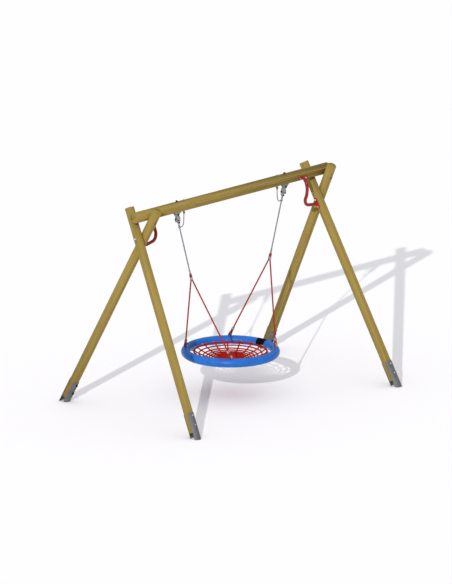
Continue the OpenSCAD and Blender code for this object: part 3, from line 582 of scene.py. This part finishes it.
blue = blue_skin("glossy_blue_pvc_skin")
around = np.linspace(0, 2 * np.pi, 360, endpoint=False)
section = -np.linspace(0, 2 * np.pi, 72, endpoint=False)
near = np.abs((around[:, None] - SHACKLE_TURNS + np.pi) % (2 * np.pi) - np.pi).min(1) * RING_R
from_top = (section + 1.5 * np.pi) % (2 * np.pi) - np.pi
slot_dip = 0.004 * np.exp(-(near / 0.022) ** 2)[:, None] * np.exp(-(from_top / 0.42) ** 2)[None]
seam = 0.0012 * np.exp(-(((section + 1.25 * np.pi) % (2 * np.pi) - np.pi) / 0.03) ** 2)
reach = COVER_R - slot_dip - seam[None]
ring = skin("padded_ring", [(round_ring(around, np.stack(
    [reach * np.cos(section), reach * np.sin(section)], -1)), True)], blue, sharp=80)
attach(ring, "nest")
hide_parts("ring_cover")
smoothed("ring_tube", zinc, "nest")
smoothed("ring_shackles", pressed, "nest")
smoothed("ring_pins", zinc, "nest")


# ---------------------------------------------------------------- sleeve
# A black rubber sleeve covers the join in the blue skin; its two edges are rounded.
SLEEVE_AT, SLEEVE_ARC, SLEEVE_T = math.radians(-1), math.radians(15.5), 0.0017
rubber = dull_metal("moulded_black_rubber", "0A0A0B", "050506", 0.85, 0.0, grain_mm=1.0, bump=0.3,
                    shine=0.06)
f = np.sin(np.linspace(-np.pi / 2, np.pi / 2, 33))
spread = SLEEVE_AT + f * SLEEVE_ARC / 2
crown = SLEEVE_T * np.sqrt(np.maximum(1 - np.abs(f) ** 14, 0.02))
crown = crown + 0.0006 * np.exp(-((np.abs(f) - 0.9) / 0.05) ** 2)
outside = np.stack([(COVER_R + crown[:, None]) * np.cos(section),
                    (COVER_R + crown[:, None]) * np.sin(section)], -1)
inside_r = np.full(33, COVER_R - 0.0008)
inside = np.stack([inside_r[:, None] * np.cos(section), inside_r[:, None] * np.sin(section)], -1)
shell = np.concatenate([round_ring(spread, outside), round_ring(spread[::-1], inside[::-1])])
sleeve = skin("rubber_sleeve", [(shell, True)], rubber, sharp=60)
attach(sleeve, "nest")
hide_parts("ring_sleeve")


# ---------------------------------------------------------------- net
# Eighteen rope spokes and twelve rope rounds, tied where they cross, hang as a shallow bowl from
# an edge rope; the rounds lie closer together towards the middle.
NET_R, NET_SAG, SPOKES = 0.463, 0.120, 18
BOWL_R = (NET_R ** 2 + NET_SAG ** 2) / (2 * NET_SAG)
ROUNDS = [0.400, 0.344, 0.304, 0.268, 0.236, 0.206, 0.178, 0.152, 0.128, 0.106, 0.086, 0.068]
NET_ROPE, EDGE_ROPE, NET_LAY = 0.0095, 0.0100, 0.064
KNOT_R, KNOT_ROPE, KNOT_LAY = 0.0125, 0.0055, 0.040
CLIP_TURNS = np.radians((np.arange(SPOKES) + 0.5) * 360 / SPOKES)


def bowl_height(r):
    """Height of the net's middle surface at radius r: a part of a ball, BOWL_R in radius."""
    return RING_H + BOWL_R - NET_SAG - np.sqrt(BOWL_R ** 2 - r ** 2)


def round_rope(radius, height, thick, step=0.0078):
    """A closed rope circle about Z, as a grid."""
    count = int(2 * math.pi * radius / step)
    a = np.linspace(0, 2 * np.pi, count, endpoint=False)
    path = np.stack([radius * np.cos(a), radius * np.sin(a), np.full(count, height)], -1)
    return carry(path, strands_of(path, thick, 4, NET_LAY * thick / NET_ROPE, True, columns=5),
                 (0, 0, 1), True), True


net_red = laid_rope("twisted_polyester_net_red", "A5170D", "860E07", 0.72)
edge = skin("net_edge_rope", [round_rope(NET_R, RING_H, EDGE_ROPE)], net_red)
hoops = skin("net_rounds", [round_rope(r, bowl_height(r) + 0.0050, NET_ROPE) for r in ROUNDS],
             net_red)
spoke_r = np.linspace(0.030, NET_R, 56)
spokes, ties = [], []
for turn in CLIP_TURNS:
    way = np.array([math.cos(turn), math.sin(turn)])
    lift = -0.0050 + 0.0050 * np.clip((spoke_r - 0.42) / 0.04, 0, 1)
    path = np.column_stack([spoke_r[:, None] * way, bowl_height(spoke_r) + lift])
    spokes.append((carry(path, strands_of(path, NET_ROPE, 4, NET_LAY, columns=5),
                         (-way[1], way[0], 0)), False))
    a = np.linspace(0, 2 * np.pi, 20, endpoint=False)
    knot = np.column_stack([(NET_R + KNOT_R * np.cos(a))[:, None] * way,
                            RING_H + KNOT_R * np.sin(a)])
    ties.append((carry(knot, strands_of(knot, KNOT_ROPE, 4, KNOT_LAY, True, columns=5),
                       (-way[1], way[0], 0), True), True))
spiral = np.linspace(0, 3.5 * 2 * np.pi, 150)
coil_r = 0.006 + 0.0124 * spiral / (2 * np.pi)
coil = np.column_stack([coil_r * np.cos(spiral), coil_r * np.sin(spiral),
                        bowl_height(coil_r) + 0.003])
heart = (carry(coil, strands_of(coil, NET_ROPE, 4, NET_LAY, columns=5), (0, 0, 1)), False)
radial = skin("net_spokes", spokes + ties + [heart], net_red)
for piece in (edge, hoops, radial):
    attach(piece, "nest")
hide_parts("net")


# ---------------------------------------------------------------- net clips
# A turned aluminium shank with a collar runs from the edge rope through the padding to the
# steel tube at every spoke.
SHANK = np.array([(0.4740, 0.0020), (0.4743, 0.0085), (0.4790, 0.0104), (0.4850, 0.0104),
                  (0.4875, 0.0070), (0.5080, 0.0070), (0.5150, 0.0072), (0.5165, 0.0105),
                  (0.5215, 0.0110), (0.5235, 0.0095), (0.5330, 0.0068), (0.5500, 0.0066)])
angle = np.linspace(0, 2 * np.pi, 20, endpoint=False)
shanks = []
for turn in CLIP_TURNS:
    way = np.array([math.cos(turn), math.sin(turn), 0])
    middle = SHANK[:, :1] * way + (0, 0, RING_H)
    shanks.append((carry(middle, SHANK[:, 1][:, None, None] * np.stack(
        [np.cos(angle), np.sin(angle)], -1)[None], (0, 0, 1)), False))
clips = skin("net_clips_turned", shanks, pressed, sharp=35)
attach(clips, "nest")
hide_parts("net_clips")


# ---------------------------------------------------------------- floor and light
# Not part of the swing: a pale matt floor, a sky brightest overhead, and one low sun from the
# front left.
SUN_WAY = (1.015, 0.660, -0.553)
floor_mesh = bpy.data.meshes.new("floor")
floor_mesh.from_pydata([(-60, -60, 0), (60, -60, 0), (60, 60, 0), (-60, 60, 0)], [], [(0, 1, 2, 3)])
floor_paint, tree, shader, place = started("pale_floor")
shader.inputs["Base Color"].default_value = tone("F4F3F4")
shader.inputs["Roughness"].default_value = 0.9
shader.inputs["Specular IOR Level"].default_value = 0.0
floor_mesh.materials.append(floor_paint)
floor = bpy.data.objects.new("floor", floor_mesh)
scene.collection.objects.link(floor)
sky = bpy.data.worlds.new("sky")
sky.use_nodes = True
air = sky.node_tree
above = add(air, "SeparateXYZ", {0: add(air, "TexCoord").outputs["Generated"]})
glow = add(air, "MapRange", {0: above.outputs["Z"], 1: 0.0, 2: 1.0, 3: 0.28, 4: 1.08})
air.nodes["Background"].inputs[0].default_value = tone("FBFBFF")
air.links.new(glow.outputs[0], air.nodes["Background"].inputs[1])
scene.world = sky
lamp = bpy.data.lights.new("sun", "SUN")
lamp.energy, lamp.angle, lamp.color = 2.4, math.radians(0.5), (1.0, 0.99, 0.97)
sun = bpy.data.objects.new("sun", lamp)
scene.collection.objects.link(sun)
reach = math.hypot(SUN_WAY[0], SUN_WAY[1])
sun.rotation_euler = (math.atan2(reach, -SUN_WAY[2]), 0,
                      math.atan2(SUN_WAY[1], SUN_WAY[0]) - math.pi / 2)
scene.view_settings.view_transform = "Standard"
